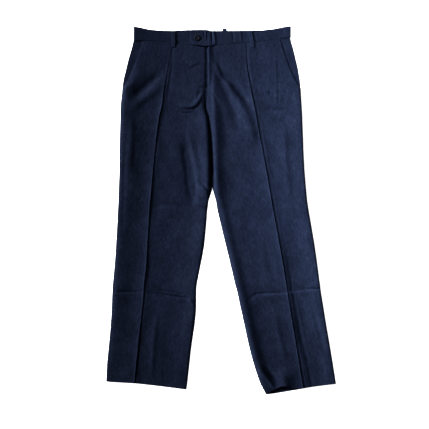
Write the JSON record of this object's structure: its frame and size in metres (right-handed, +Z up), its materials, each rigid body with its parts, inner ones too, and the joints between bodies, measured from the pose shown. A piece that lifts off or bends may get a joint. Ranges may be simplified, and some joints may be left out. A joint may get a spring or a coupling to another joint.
{
  "type": "suit trousers",
  "caption": "Suit trousers laid flat with the front up: pressed creases, a tab that buttons over a zip fly, slant pockets, belt loops and plain hems.",
  "frame": {"origin": "on the surface under the middle of the garment's box", "axes": "+Y towards the waist, +Z up out of the front, +X towards the wearer's left leg"},
  "size_m": [0.6888, 1.1046, 0.0151],
  "materials": {
    "suiting": "dark navy worsted wool with a fine upright streak and a slight sheen",
    "button_horn": "dark satin horn",
    "zip_tape": "dark woven tape with closed teeth",
    "zip_metal": "dull"
  },
  "bodies": {
    "root": {"front_right": "suiting", "front_left": "suiting", "back_right": "suiting", "back_left": "suiting", "pocket_facing_right": "suiting", "pocket_facing_left": "suiting", "waistband_front_right": "suiting", "waistband_front_left": "suiting", "waistband_back_right": "suiting", "waistband_back_left": "suiting", "belt_loop_front_right": "suiting", "belt_loop_front_left": "suiting", "belt_loop_back": "suiting", "fly_zip": "zip_tape", "zip_slider": "zip_metal", "button_waist": "button_horn"}
  },
  "joints": []
}
